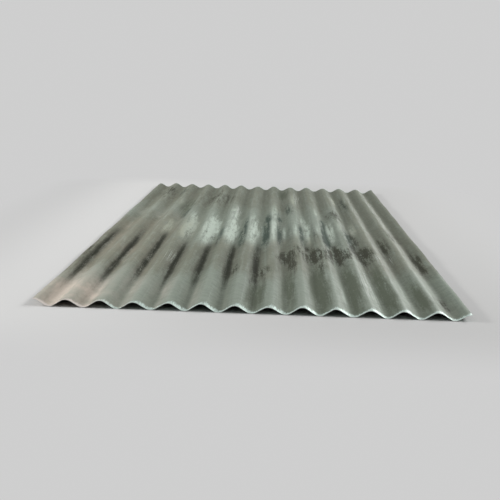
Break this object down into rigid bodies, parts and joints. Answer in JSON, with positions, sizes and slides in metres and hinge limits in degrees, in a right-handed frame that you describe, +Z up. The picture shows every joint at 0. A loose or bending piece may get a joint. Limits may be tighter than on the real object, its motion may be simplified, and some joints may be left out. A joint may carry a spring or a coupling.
{
  "type": "corrugated metal sheet",
  "caption": "Long thin steel sheet, roll-formed into round shallow waves along its length, with galvanised faces and square-cut ends.",
  "frame": {"origin": "on the floor under the middle of the sheet, at the level of the undersides of its valleys", "axes": "+X across the waves, to the right as the picture shows the sheet; +Y along the waves, away from the picture's camera; +Z up, out of the face that is seen"},
  "size_m": [0.9906, 3, 0.018],
  "materials": {
    "galvanised_steel": "zinc-coated and weathered to a dull grey-green, dusty and stained in the valleys, rubbed bright at the ends"
  },
  "bodies": {
    "root": {"corrugated_sheet": "galvanised_steel"}
  },
  "joints": []
}
